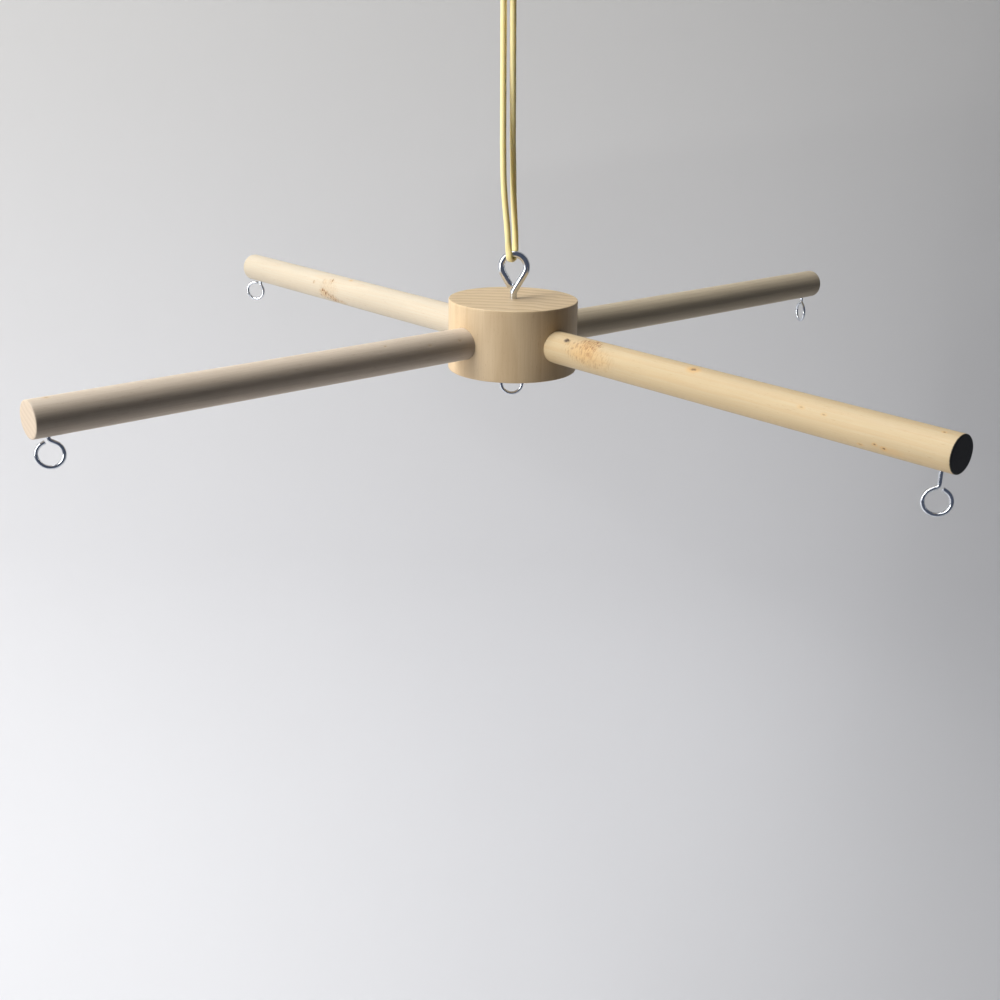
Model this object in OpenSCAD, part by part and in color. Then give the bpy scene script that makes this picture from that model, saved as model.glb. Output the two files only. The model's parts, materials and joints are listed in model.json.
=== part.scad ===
// Hanger frame of a crib mobile: a turned hub, four plug-in arms, screw eyes
// under the arms and the hub, and a doubled cord through the eye on top.
// Millimetres, +Z up. The origin is the hanging point, right under the cord's
// knot; the hub stands below it and a little to the right.

/* [Hub] */
// Diameter of the turned hub
hub_d = 49.5; // [44:0.5:60]
// Height of the hub
hub_h = 27; // [22:0.5:36]
// Width of the broken edge round the hub's two faces
hub_bevel = 0.4; // [0.1:0.1:1.2]
// How far the arms' centre line lies below the hub's mid-height
arm_drop = 0.8; // [0:0.1:3]

/* [Arms] */
// Diameter of the dowel arms
arm_d = 12; // [9:0.5:14.5]
// Length of one arm from end to end
arm_len = 182; // [120:1:240]
// Width of the broken edge round an arm's two ends
arm_bevel = 0.35; // [0.1:0.05:0.8]
// How deep an arm plugs into the hub
socket_depth = 16; // [10:0.5:16.5]
// Radial play of an arm in its socket
socket_play = 0.08; // [0.02:0.01:0.1]
// Air left between an arm's inner end and the bottom of its socket
socket_air = 0.25; // [0.1:0.05:1]

/* [Small eyes] */
// Wire diameter of the small screw eyes
eye_wire = 1.3; // [1.1:0.1:1.6]
// Clear width inside the ring of a small eye
eye_ring = 6.8; // [5.6:0.1:8.4]
// Lean of the wire where it opens into a small ring, from the shank
eye_flare = 62; // [50:1:68]
// Length of the threaded end of a small eye, with its point
eye_thread = 8; // [5:0.5:9]
// Distance from one thread ridge to the next on a small eye
eye_pitch = 1; // [0.7:0.1:1.3]
// Distance from an arm's outer end to its eye
eye_inset = 6; // [4:0.5:12]

/* [Top eye] */
// Wire diameter of the eye that carries the frame
top_wire = 2.7; // [2:0.1:3.3]
// Clear width inside the ring of the top eye
top_ring = 6.8; // [6.4:0.1:8.4]
// Lean of the wire where it opens into the top ring, from the shank
top_flare = 30; // [26:1:40]
// Length of straight wire between the hub and the top ring
top_neck = 1.9; // [1:0.1:5]
// Length of the threaded end of the top eye, with its point
top_thread = 12.5; // [8:0.5:14]
// Distance from one thread ridge to the next on the top eye
top_pitch = 1.3; // [1:0.1:1.6]

/* [Cord] */
// Diameter of the hanging cord
cord_d = 2.3; // [1.6:0.1:2.6]
// Air between the cord and the wire that hangs in it
cord_air = 0.2; // [0.15:0.05:0.4]

/* [Hidden] */
$fn = 64;

// What differs from arm to arm. Angle round the hub from +X, wire left between
// the arm and the ring's flare, turn of the ring about its shank, and lean of
// the ring to the shank's side.
ARM_ANGLE = 0;
EYE_NECK = 1;
EYE_TURN = 2;
EYE_LEAN = 3;
front_left = [225, 0.4, 20, 0];
front_right = [315, 4.3, 168, 0];
rear_right = [45, 1.5, -74, 0];
rear_left = [135, 1.35, -10, 35];
hub_bottom = [0, 0.85, 0, 0];

// The screw eyes
wire_bend = 1;          // radius of the small bend at a ring's foot, in wires
end_gap = 0.12;         // air between the ring's free end and its foot
plain_shank = 0.6;      // plain wire between the wood's face and the thread
thread_depth = 0.3;     // depth of the thread, as a share of the wire's radius
point_len = 1.5;        // length of the gimlet point, in wires
point_flat = 0.1;       // width of the flat on its tip, as a share of the wire
thread_steps = 4;       // rings of the mesh for each turn of the thread
eye_sides = 10;         // sides of the small eyes' wire
top_sides = 16;         // sides of the top eye's wire
bend_steps = 3;
ring_steps = 22;
hole_play = 0.05;       // radial play of a shank in its hole
hole_air = 0.5;         // air left beyond the point

// The cord. It is doubled under the top eye's wire, so the two strands meet
// the bight at the same height, clear above the ring.
cord_sides = 8;
cross_angle = 24;       // the cord crosses the wire at this angle
bight_aside = -0.85;    // it lies this far to one side of the ring's middle
strand_clear = 0.5;     // from the ring's top up to the strands' lower ends
meet_gap = 0.05;        // air where a strand meets the bight
bight_steps = 8;
cord_wrap = top_wire / 2 + cord_air + cord_d / 2;
bight_ease = 0.15;      // more room on the wire's two sides, where it slopes
bight_half = cord_wrap / cos(cross_angle) + bight_ease;

// Heights, downwards from the hanging point
frame_x = 4;            // the hub's axis, to the right of the hanging point
ring_z = -100;          // middle of the top eye's ring
ring_mean = (top_ring + top_wire) / 2;
hub_top = ring_z - ring_height(top_wire, top_ring, top_flare, top_neck);
arm_z = hub_top - hub_h / 2 - arm_drop;
socket_floor = hub_d / 2 - socket_depth;
arm_start = socket_floor + socket_air;
eye_reach = arm_start + arm_len - eye_inset;
strand_foot = ring_z + ring_mean + top_wire / 2 + strand_clear;
cord_up = unit(-[frame_x + bight_aside, 0, ring_z + ring_mean]);

// Routes of the two strands, down from the knot. The last two points bring
// each one upright over its own end of the bight.
front_route = [
    [-1.7, 0, 0], [-1.7, -0.1, -6], [-1.6, -0.2, -12], [-1.5, -0.3, -18],
    [-1.4, -0.4, -24], [-1.3, -0.6, -30], [-1.2, -0.8, -36], [-1.1, -1, -42],
    [-1, -1.2, -48], [-0.9, -1.4, -54], [-0.7, -1.6, -60], [-0.5, -1.8, -66],
    [-0.1, -2, -72], [0.5, -2.2, -78], [1.2, -2.4, -84]
];
back_route = [
    [1.7, 0, 0], [1.7, 0.1, -6], [1.8, 0.2, -12], [1.9, 0.3, -18],
    [2, 0.4, -24], [2.1, 0.6, -30], [2.2, 0.8, -36], [2.3, 1, -42],
    [2.4, 1.2, -48], [2.5, 1.4, -54], [2.7, 1.6, -60], [2.9, 1.8, -66],
    [3.1, 2, -72], [3.4, 2.2, -78], [3.8, 2.4, -84]
];
front_tail = [[-1.5, 0, 9], [-1.7, -0.2, 12], [-2.3, -0.5, 16], [-3.2, -0.9, 20]];
back_tail = [[1.5, 0, 9], [1.7, 0.2, 12], [2.2, 0.6, 15], [2.9, 1.1, 18]];

// The knot's outline, half of it: radius and height
knot_outline = [[0, 0], [3.2, 0], [4.3, 2], [4.6, 4.5], [4.2, 7], [3, 9], [0, 9]];

// Colours
beech = [0.86, 0.72, 0.52];
pine = [0.91, 0.79, 0.59];
zinc = [0.78, 0.80, 0.83];
cord_yellow = [0.93, 0.87, 0.55];

// ---- shape of a screw eye ----

// Straight wire between the bend at the foot and the round of the ring
function side_length(wire, ring, flare) =
    ((ring + wire) / 2 * cos(flare) - wire_bend * wire * (1 - cos(flare))) / sin(flare);

// Height of the ring's middle above the face that the eye is screwed into
function ring_height(wire, ring, flare, neck) =
    neck + wire_bend * wire * sin(flare)
    + side_length(wire, ring, flare) * cos(flare)
    + (ring + wire) / 2 * sin(flare);

// How far short of the foot the wire's free end stops, so that it stays clear
function free_stop(wire, flare) =
    (wire / 2 * (1 + abs(cos(2 * flare))) + end_gap
     - 2 * wire_bend * wire * (1 - cos(flare)) * cos(flare)) / sin(2 * flare);

// An eye's wire runs in the XZ plane. A stop on it is a point with the heading
// there, as an angle from +Z towards +X.
function step_on(stop, length) =
    [stop[0] + length * [sin(stop[1]), 0, cos(stop[1])], stop[1]];

// Stops round a bend that starts at a stop; a turn above zero is towards +X
function bend_on(stop, radius, turn, steps) =
    let (reach = function(heading) sign(turn) * radius * [cos(heading), 0, -sin(heading)])
    [for (i = [0 : steps])
        let (heading = stop[1] + turn * i / steps)
        [stop[0] + reach(stop[1]) - reach(heading), heading]];

function last(list) = list[len(list) - 1];

// Stops from the wood's face, up the neck and round the ring to the free end
function eye_stops(wire, ring, flare, neck, lean) =
    let (
        side = side_length(wire, ring, flare),
        foot = bend_on([[0, 0, neck], 0], wire_bend * wire, flare - lean, bend_steps),
        round = bend_on(step_on(last(foot), side), (ring + wire) / 2, -180 - 2 * flare, ring_steps)
    )
    concat(foot, round, [step_on(last(round), side - free_stop(wire, flare))]);

// The thread's radius at a height below the wood's face and an angle round it:
// one ridge winds down the root, and the whole tapers over the point.
function thread_radius(wire, thread, pitch, depth, angle) =
    let (
        r = wire / 2,
        phase = depth / pitch - angle / 360,
        ridge = 1 - abs(2 * (phase - floor(phase)) - 1),
        start = min(1, (depth - plain_shank) / pitch),
        taper = min(1, max(point_flat, (plain_shank + thread - depth) / (point_len * wire)))
    )
    taper * r * (1 - thread_depth * start * (1 - ridge));

// Skin of a tube: its points ring by ring, with flat ends
module skin(rings) {
    n = len(rings[0]);
    ends = len(rings) - 1;
    walls = [for (i = [0 : ends - 1], k = [0 : n - 1])
        each [[i * n + k, (i + 1) * n + k, (i + 1) * n + (k + 1) % n],
              [i * n + k, (i + 1) * n + (k + 1) % n, i * n + (k + 1) % n]]];
    caps = [[for (k = [0 : n - 1]) k], [for (k = [n - 1 : -1 : 0]) ends * n + k]];
    polyhedron([for (ring = rings) each ring], concat(walls, caps));
}

// A screw eye bent from one wire, standing on z = 0 with its screw below.
// The wire leaves the shank towards +X and its free end closes from -X.
module screw_eye(wire, ring, flare, neck, thread, pitch, sides, lean = 0) {
    turns = [for (k = [0 : sides - 1]) 360 * k / sides];
    rows = ceil(thread / pitch * thread_steps);
    screw = [for (i = [rows : -1 : 0])
        let (depth = plain_shank + thread * i / rows)
        [for (a = turns)
            let (r = thread_radius(wire, thread, pitch, depth, a))
            [r * sin(a), r * cos(a), -depth]]];
    ring_wire = [for (stop = eye_stops(wire, ring, flare, neck, lean))
        [for (a = turns)
            stop[0] + wire / 2 * (sin(a) * [cos(stop[1]), 0, -sin(stop[1])] + cos(a) * [0, 1, 0])]];
    skin(concat(screw, ring_wire));
}

// A hole for a screw eye, below z = 0
module eye_hole(wire, thread) {
    depth = plain_shank + thread + hole_air;
    translate([0, 0, -depth])
        cylinder(r = wire / 2 + hole_play, h = depth + 1, $fn = 32);
}

// ---- placing ----

module at_hub() {
    translate([frame_x, 0, 0]) children();
}

// Frame of an arm: origin on the hub's axis, +X outwards along the arm
module at_arm(arm) {
    at_hub() translate([0, 0, arm_z]) rotate([0, 0, arm[ARM_ANGLE]]) children();
}

// Frame of a small eye under an arm: +Z points down, out of the wood
module under_arm(arm) {
    at_arm(arm) translate([eye_reach, 0, -arm_d / 2]) rotate([180, 0, 0]) children();
}

module under_hub() {
    at_hub() translate([0, 0, hub_top - hub_h]) rotate([180, 0, 0]) children();
}

// ---- the wooden pieces ----

// Half outline of a round bar with broken edges: radius and height
function bar_outline(r, h, bevel) =
    [[0, 0], [r - bevel, 0], [r, bevel], [r, h - bevel], [r - bevel, h], [0, h]];

module hub() {
    color(beech) difference() {
        at_hub() translate([0, 0, hub_top - hub_h])
            rotate_extrude($fn = 128) polygon(bar_outline(hub_d / 2, hub_h, hub_bevel));
        for (arm = [front_left, front_right, rear_right, rear_left])
            at_arm(arm) translate([socket_floor, 0, 0]) rotate([0, 90, 0])
                cylinder(r = arm_d / 2 + socket_play, h = socket_depth + 1);
        at_hub() translate([0, 0, hub_top]) eye_hole(top_wire, top_thread);
        under_hub() eye_hole(eye_wire, eye_thread);
    }
}

module arm(arm) {
    color(pine) difference() {
        at_arm(arm) translate([arm_start, 0, 0]) rotate([0, 90, 0])
            rotate_extrude() polygon(bar_outline(arm_d / 2, arm_len, arm_bevel));
        under_arm(arm) eye_hole(eye_wire, eye_thread);
    }
}

// ---- the screw eyes ----

module small_eye(arm) {
    // the turn is about the row's +Z, and the eye hangs upside down
    color(zinc) rotate([0, 0, -arm[EYE_TURN]])
        screw_eye(eye_wire, eye_ring, eye_flare, arm[EYE_NECK],
                  eye_thread, eye_pitch, eye_sides, arm[EYE_LEAN]);
}

module arm_eye(arm) {
    under_arm(arm) rotate([0, 0, arm[ARM_ANGLE]]) small_eye(arm);
}

module top_eye() {
    color(zinc) at_hub() translate([0, 0, hub_top])
        screw_eye(top_wire, top_ring, top_flare, top_neck, top_thread, top_pitch, top_sides);
}

module bottom_eye() {
    under_hub() small_eye(hub_bottom);
}

// ---- the cord ----

function unit(v) = v / norm(v);

// Direction of a route at one of its points; the two ends point straight
// along the given directions.
function heading(route, i, from, to) =
    i == 0 ? from : i == len(route) - 1 ? to : unit(route[i + 1] - route[i - 1]);

// One ring of a tube, round a point and square to the heading there
function tube_ring(at, along, side) =
    let (u = unit(side - (side * along) * along), v = cross(along, u))
    [for (k = [0 : cord_sides - 1])
        at + cord_d / 2 * (cos(360 * k / cord_sides) * u + sin(360 * k / cord_sides) * v)];

// A tube along a route. The side vector is never parallel to the route.
module tube(route, from, to, side) {
    color(cord_yellow)
        skin([for (i = [0 : len(route) - 1]) tube_ring(route[i], heading(route, i, from, to), side)]);
}

// Where the cord runs through the ring. Its bight crosses under the wire, and
// follows the wire's own height from one strand to the other.
cross_way = [sin(cross_angle), cos(cross_angle), 0];
function wire_height(aside) = ring_z + sqrt(pow(ring_mean, 2) - pow(aside, 2));
function bight_aside_at(across) = bight_aside + across * cross_way[0];
function bight_spot(across, z) =
    [frame_x + bight_aside_at(across), across * cross_way[1], z];

// A point of the bight, at an angle from its lowest point
function bight_point(a) =
    let (across = bight_half * sin(a))
    bight_spot(across, wire_height(bight_aside_at(across)) - cord_wrap * cos(a));

// An end of a strand or of the bight, on one side of the wire. All four ends
// are cut square to the line that the cord hangs along, and twists about.
function strand_end(side, gap) =
    let (
        across = side * bight_half,
        aside = frame_x + bight_aside_at(across)
    )
    bight_spot(across, (strand_foot + gap - aside * cord_up[0]) / cord_up[2]);

module cord_bight() {
    route = concat(
        [strand_end(-1, -meet_gap)],
        [for (i = [0 : bight_steps]) bight_point(-90 + 180 * i / bight_steps)],
        [strand_end(1, -meet_gap)]
    );
    tube(route, -cord_up, cord_up, cross([0, 0, 1], cross_way));
}

module strand(route, side) {
    foot = strand_end(side, meet_gap);
    tube(concat(route, [foot + 2 * cord_d * cord_up, foot]), [0, 0, -1], -cord_up, [1, 0, 0]);
}

module cord_knot() {
    color(cord_yellow) rotate_extrude() polygon(knot_outline);
}

module cord_tail(route) {
    tube(route, [0, 0, 1], unit(route[3] - route[2]), [1, 0, 0]);
}

hub();
arm(front_left);  // arm_front_left
arm(front_right);  // arm_front_right
arm(rear_right);  // arm_rear_right
arm(rear_left);  // arm_rear_left
arm_eye(front_left);  // eye_front_left
arm_eye(front_right);  // eye_front_right
arm_eye(rear_right);  // eye_rear_right
arm_eye(rear_left);  // eye_rear_left
top_eye();
bottom_eye();
cord_bight();
strand(front_route, -1);  // cord_front
strand(back_route, 1);  // cord_back
cord_knot();
cord_tail(front_tail);  // cord_tail_front
cord_tail(back_tail);  // cord_tail_back
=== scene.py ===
# %% [markdown]
# # The hanger frame of a crib mobile
# Four wooden dowels plug into a turned hub. Small zinc screw eyes hang under the dowels' ends and
# under the hub, for the toys, and a bigger eye on top carries everything on a doubled cord.
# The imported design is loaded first. It fixes every place and size, so each piece made here takes its
# measures from it, and only adds what a plain design model leaves out: smooth round wire, worn
# edges, grain, knots, and a cord that bends as a cord does.

import json
import math

import bmesh
import bpy
from mathutils import Matrix, Vector, noise


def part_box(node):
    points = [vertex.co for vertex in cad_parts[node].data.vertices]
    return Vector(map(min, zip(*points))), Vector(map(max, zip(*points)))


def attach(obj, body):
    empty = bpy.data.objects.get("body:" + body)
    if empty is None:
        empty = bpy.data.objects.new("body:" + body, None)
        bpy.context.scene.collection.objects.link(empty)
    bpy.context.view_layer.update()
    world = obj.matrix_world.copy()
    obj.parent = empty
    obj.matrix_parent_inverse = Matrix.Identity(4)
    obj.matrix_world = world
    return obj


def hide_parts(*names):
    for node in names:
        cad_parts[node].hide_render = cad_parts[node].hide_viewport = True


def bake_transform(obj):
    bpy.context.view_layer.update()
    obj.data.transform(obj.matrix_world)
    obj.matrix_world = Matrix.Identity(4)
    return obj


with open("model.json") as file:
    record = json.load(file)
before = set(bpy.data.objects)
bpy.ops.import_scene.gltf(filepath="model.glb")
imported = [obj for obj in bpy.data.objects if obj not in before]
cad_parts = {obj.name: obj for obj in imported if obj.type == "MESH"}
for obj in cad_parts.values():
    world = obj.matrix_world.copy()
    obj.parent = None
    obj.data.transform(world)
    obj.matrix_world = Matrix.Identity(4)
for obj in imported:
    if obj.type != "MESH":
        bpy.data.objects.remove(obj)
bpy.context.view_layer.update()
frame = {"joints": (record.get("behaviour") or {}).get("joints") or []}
joints = {joint["name"]: joint for joint in frame["joints"]}
MM = 0.001


# %% [markdown]
# ## The camera
# The camera comes first, because it decides what of the cord is in view. It stands in front of the
# frame and looks down at it by about twenty degrees, a little turned and a little rolled, as a
# camera held in the hand is. Turning about the upright axis first, then tilting, then rolling about
# the line of sight keeps the three angles easy to read.

# %% Camera
CAMERA_SPOT = Vector((0.0301, -0.4884, -0.0179))
CAMERA_TURN = math.radians(3.48)
CAMERA_DOWN = math.radians(19.81)
CAMERA_ROLL = math.radians(1.11)
CAMERA_LENS = 46.34

camera_data = bpy.data.cameras.new("camera")
camera_data.lens = CAMERA_LENS
camera_data.sensor_width = 36
camera_data.clip_start = 0.01
camera_data.clip_end = 20
camera = bpy.data.objects.new("camera", camera_data)
bpy.context.scene.collection.objects.link(camera)
camera.matrix_world = (
    Matrix.Translation(CAMERA_SPOT)
    @ Matrix.Rotation(CAMERA_TURN, 4, "Z")
    @ Matrix.Rotation(math.pi / 2 - CAMERA_DOWN, 4, "X")
    @ Matrix.Rotation(CAMERA_ROLL, 4, "Z")
)
bpy.context.scene.camera = camera
print("camera at", tuple(round(x, 3) for x in CAMERA_SPOT), "lens", CAMERA_LENS, "mm")


# %% [markdown]
# ## A swept tube
# The cord and all the screw eyes are round bars that follow a line. One helper lays a ring of points
# round each stop on the line and joins ring to ring. A frame that is carried along without twisting
# keeps the rings from spinning, which a frame built from a fixed up direction would do where the
# line turns over. The tube also gets a map of its surface, in metres along and around, so that a
# drawn or woven finish can follow it.

# %% Swept tube
def carried_frames(points):
    """Heading, and one side vector carried along without twist, at each point of a line."""
    last = len(points) - 1
    headings = []
    for i in range(last + 1):
        step = points[min(i + 1, last)] - points[max(i - 1, 0)]
        headings.append(step.normalized())
    side = headings[0].orthogonal().normalized()
    frames = []
    for heading in headings:
        side = (side - heading * side.dot(heading)).normalized()
        frames.append((heading, side))
    return frames


def tube(name, points, radius, sides, frames=None, sharp_ends=True):
    """A closed tube along points. radius is a number, or a function of (stop, angle)."""
    frames = frames or carried_frames(points)
    measure = radius if callable(radius) else (lambda stop, angle: radius)
    made = bmesh.new()
    surface_map = made.loops.layers.uv.new("along")
    rings, travelled = [], [0.0]
    for stop, (point, (heading, side)) in enumerate(zip(points, frames)):
        if stop:
            travelled.append(travelled[-1] + (point - points[stop - 1]).length)
        across = heading.cross(side)
        ring = []
        for k in range(sides):
            angle = 2 * math.pi * k / sides
            out = side * math.cos(angle) + across * math.sin(angle)
            ring.append(made.verts.new(point + out * measure(stop, angle)))
        rings.append(ring)
    girth = 2 * math.pi * measure(len(points) // 2, 0.0)
    for stop in range(len(rings) - 1):
        for k in range(sides):
            nxt = (k + 1) % sides
            face = made.faces.new(
                (rings[stop][k], rings[stop][nxt], rings[stop + 1][nxt], rings[stop + 1][k])
            )
            face.smooth = True
            spots = ((stop, k), (stop, k + 1), (stop + 1, k + 1), (stop + 1, k))
            for loop, (row, column) in zip(face.loops, spots):
                loop[surface_map].uv = (travelled[row], girth * column / sides)
    made.faces.new(list(reversed(rings[0])))
    made.faces.new(rings[-1])
    if sharp_ends:
        for ring in (rings[0], rings[-1]):
            for k in range(sides):
                edge = made.edges.get((ring[k], ring[(k + 1) % sides]))
                edge.smooth = False
    return finish_mesh(name, made)


def finish_mesh(name, made):
    """Turns a bmesh into a linked object with outward faces."""
    bmesh.ops.recalc_face_normals(made, faces=made.faces)
    mesh = bpy.data.meshes.new(name)
    made.to_mesh(mesh)
    made.free()
    piece = bpy.data.objects.new(name, mesh)
    bpy.context.scene.collection.objects.link(piece)
    return piece


def through(points, spacing):
    """A smooth line through points, with stops about spacing apart."""
    ends = [2 * points[0] - points[1], *points, 2 * points[-1] - points[-2]]
    line = []
    for a, b, c, d in zip(ends, ends[1:], ends[2:], ends[3:]):
        steps = max(1, round((c - b).length / spacing))
        for i in range(steps):
            t = i / steps
            line.append(
                0.5 * (2 * b + (c - a) * t + (2 * a - 5 * b + 4 * c - d) * t * t
                       + (3 * b - a - 3 * c + d) * t ** 3)
            )
    return line + [points[-1]]


# %% [markdown]
# ## The cord
# One thin, limp cord is doubled through the top eye. Its two ends are tied together above, in an
# overhand knot with short tails, and the hook or the crib's arm goes between the strands right under
# the knot. The line that the cord follows is the design's own: the same points, from the knot down
# the front strand, under the eye's wire and up the back strand. Only the knot is worked out here,
# because the design keeps a plain barrel there.
#
# The whole cord is one tube from tail to tail, as the real one is one length. It is a mesh rather
# than a curve object, since only a mesh can be blended between two bodies; no blending is set up
# here.

# %% The cord's sizes and route, in millimetres as in the design
CORD = 2.3
EYE_WIRE, EYE_RING = 2.7, 6.8
RING_MIDDLE = -100
HUB_AXIS = 4
BIGHT_ASIDE = -0.85
CROSS_ANGLE = math.radians(24)
CORD_AIR = 0.03
FLAT_THICK, FLAT_WIDE = 0.68, 1.18
FRONT_ROUTE = [
    (-1.7, 0, 0), (-1.7, -0.1, -6), (-1.6, -0.2, -12), (-1.5, -0.3, -18),
    (-1.4, -0.4, -24), (-1.3, -0.6, -30), (-1.2, -0.8, -36), (-1.1, -1, -42),
    (-1, -1.2, -48), (-0.9, -1.4, -54), (-0.7, -1.6, -60), (-0.5, -1.8, -66),
    (-0.1, -2, -72), (0.5, -2.2, -78), (1.2, -2.4, -84), (1.7, -2.6, -89.5),
]
BACK_ROUTE = [
    (1.7, 0, 0), (1.7, 0.1, -6), (1.8, 0.2, -12), (1.9, 0.3, -18),
    (2, 0.4, -24), (2.1, 0.6, -30), (2.2, 0.8, -36), (2.3, 1, -42),
    (2.4, 1.2, -48), (2.5, 1.4, -54), (2.7, 1.6, -60), (2.9, 1.8, -66),
    (3.1, 2, -72), (3.4, 2.2, -78), (3.8, 2.4, -84), (4.15, 2.6, -89.5),
]
FRONT_TAIL = [(-1.7, -0.2, 12), (-2.3, -0.5, 16), (-3.2, -0.9, 20)]
BACK_TAIL = [(1.7, 0.2, 12), (2.2, 0.6, 15), (2.9, 1.1, 18)]


def bight():
    """Points of the cord where it passes under the eye's wire, from the front to the back."""
    ring_mean = (EYE_RING + EYE_WIRE) / 2
    wrap = EYE_WIRE / 2 + CORD_AIR + FLAT_THICK * CORD / 2
    half = wrap / math.cos(CROSS_ANGLE)
    points = []
    for i in range(9):
        angle = math.radians(-90 + 180 * i / 8)
        across = half * math.sin(angle)
        aside = BIGHT_ASIDE + across * math.sin(CROSS_ANGLE)
        wire_height = RING_MIDDLE + math.sqrt(ring_mean ** 2 - aside ** 2)
        height = wire_height - wrap * math.cos(angle)
        points.append((HUB_AXIS + aside, across * math.cos(CROSS_ANGLE), height))
    return points


# %% The knot, worked out as one flat turn of the doubled cord round its own core
KNOT_RADIUS = 3.7
KNOT_TOP, KNOT_DROP = 7.5, 4.7
KNOT_STEPS = 12


def knot_strand(side):
    """One strand through the knot, upwards: up the core, once round it downwards, and up again."""
    core_x = 1.15 * side
    points = [(1.35 * side, -0.7, 1.6), (core_x, -1.15, 4.4), (core_x, -1.5, 7.4 - side * 0.6)]
    lift = -1.18 * side
    for i in range(KNOT_STEPS + 1):
        share = i / KNOT_STEPS
        angle = math.radians(-75 + 345 * share)
        height = KNOT_TOP - KNOT_DROP * share + lift
        points.append((KNOT_RADIUS * math.cos(angle), KNOT_RADIUS * math.sin(angle), height))
    points += [(core_x * 0.9, -0.4, 2.2), (core_x, 1.1, 4.6), (1.5 * side, 0.5, 9)]
    return points


# %% The cord's whole line, from tail to tail
def in_metres(points):
    return [Vector(point) * MM for point in points]


cord_points = in_metres(
    FRONT_TAIL[::-1] + knot_strand(-1)[::-1] + FRONT_ROUTE + bight()
    + BACK_ROUTE[::-1] + knot_strand(1) + BACK_TAIL
)
cord_line = through(cord_points, 0.35 * MM)


# %% The cord as a tube
CORD_SIDES = 20


cord_frames = carried_frames(cord_line)
wire_top = Vector((HUB_AXIS + BIGHT_ASIDE, 0, RING_MIDDLE + (EYE_RING + EYE_WIRE) / 2)) * MM


def cord_radius(stop, angle):
    """Round with the small unevenness of a soft cord, squashed where it is drawn over the wire."""
    place = cord_line[stop]
    size = CORD / 2 * MM * (1 + noise.noise(place * 260) * 0.03)
    to_wire = wire_top - place
    squash = max(0.0, min(1.0, 2.2 - to_wire.length / (2.6 * MM)))
    if squash == 0.0:
        return size
    heading, side = cord_frames[stop]
    out = side * math.cos(angle) + heading.cross(side) * math.sin(angle)
    to_wire = (to_wire - heading * to_wire.dot(heading)).normalized()
    thick = 1 + (FLAT_THICK - 1) * squash
    wide = 1 + (FLAT_WIDE - 1) * squash
    towards = out.dot(to_wire)
    return size / math.sqrt((towards / thick) ** 2 + (1 - towards ** 2) / wide ** 2)


hanging_cord = tube("hanging_cord", cord_line, cord_radius, CORD_SIDES, cord_frames)
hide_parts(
    "cord_front", "cord_back", "cord_bight", "cord_knot", "cord_tail_front", "cord_tail_back",
)
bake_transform(hanging_cord)


# %% [markdown]
# ## The screw eyes
# A screw eye is one piece of hard drawn wire. One end is rolled into a wood thread with a gimlet
# point; the other is bent out at the foot and round into a ring, and its cut end stops just short of
# the foot. The whole eye is therefore one sweep: the thread's rings first, with a radius that
# follows the helix, then the neck, the bend, the side, the round of the ring and the closing side.
# A torus with a cylinder stuck to it would be quicker, but it has a seam where a real eye bends, and
# no open end.

# %% Stops along a screw eye's wire
BEND_STEPS, RING_STEPS, SIDE_STEPS = 10, 72, 4
THREAD_STEPS = 14
PLAIN_SHANK = 0.6 * MM
END_GAP = 0.12 * MM
POINT_LENGTH = 1.5
THREAD_DEPTH = 0.3


def bend(point, heading, radius, turn, steps):
    """Stops round a bend in the XZ plane; heading is the angle from +Z towards +X."""
    sign = math.copysign(1, turn)

    def reach(angle):
        return Vector((math.cos(angle), 0, -math.sin(angle))) * radius * sign

    stops = []
    for i in range(1, steps + 1):
        angle = heading + turn * i / steps
        stops.append((point + reach(heading) - reach(angle), angle))
    return stops


def straight(point, heading, length, steps):
    way = Vector((math.sin(heading), 0, math.cos(heading)))
    return [(point + way * length * i / steps, heading) for i in range(1, steps + 1)]


def eye_wire_line(wire, ring, flare, neck, lean):
    """Stops from the wood's face, up the neck and round the ring, to the free end."""
    mean = (ring + wire) / 2
    side = (mean * math.cos(flare) - wire * (1 - math.cos(flare))) / math.sin(flare)
    stop_short = (
        wire / 2 * (1 + abs(math.cos(2 * flare))) + END_GAP
        - 2 * wire * (1 - math.cos(flare)) * math.cos(flare)
    ) / math.sin(2 * flare)
    stops = [(Vector((0, 0, 0)), 0.0)]
    stops += straight(*stops[-1], neck, max(1, round(neck / (0.5 * MM))))
    stops += bend(*stops[-1], wire, flare - lean, BEND_STEPS)
    stops += straight(*stops[-1], side, SIDE_STEPS)
    stops += bend(*stops[-1], mean, -math.pi - 2 * flare, RING_STEPS)
    stops += straight(*stops[-1], side - stop_short, SIDE_STEPS)
    return stops


# %% A whole screw eye
WIRE_SIDES = 28


def thread_radius(wire, thread, pitch, depth, angle):
    """Radius of the thread at a depth below the wood's face: a rolled ridge that winds round a
    thinner root, and tapers to a point."""
    phase = (depth / pitch - angle / (2 * math.pi)) % 1
    ridge = max(0.0, 1 - abs(2 * phase - 1) * 1.35)
    start = min(1.0, max(0.0, (depth - PLAIN_SHANK) / pitch))
    taper = min(1.0, max(0.04, (PLAIN_SHANK + thread - depth) / (POINT_LENGTH * wire)))
    return taper * wire / 2 * (1 - THREAD_DEPTH * start * (1 - ridge))


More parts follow.
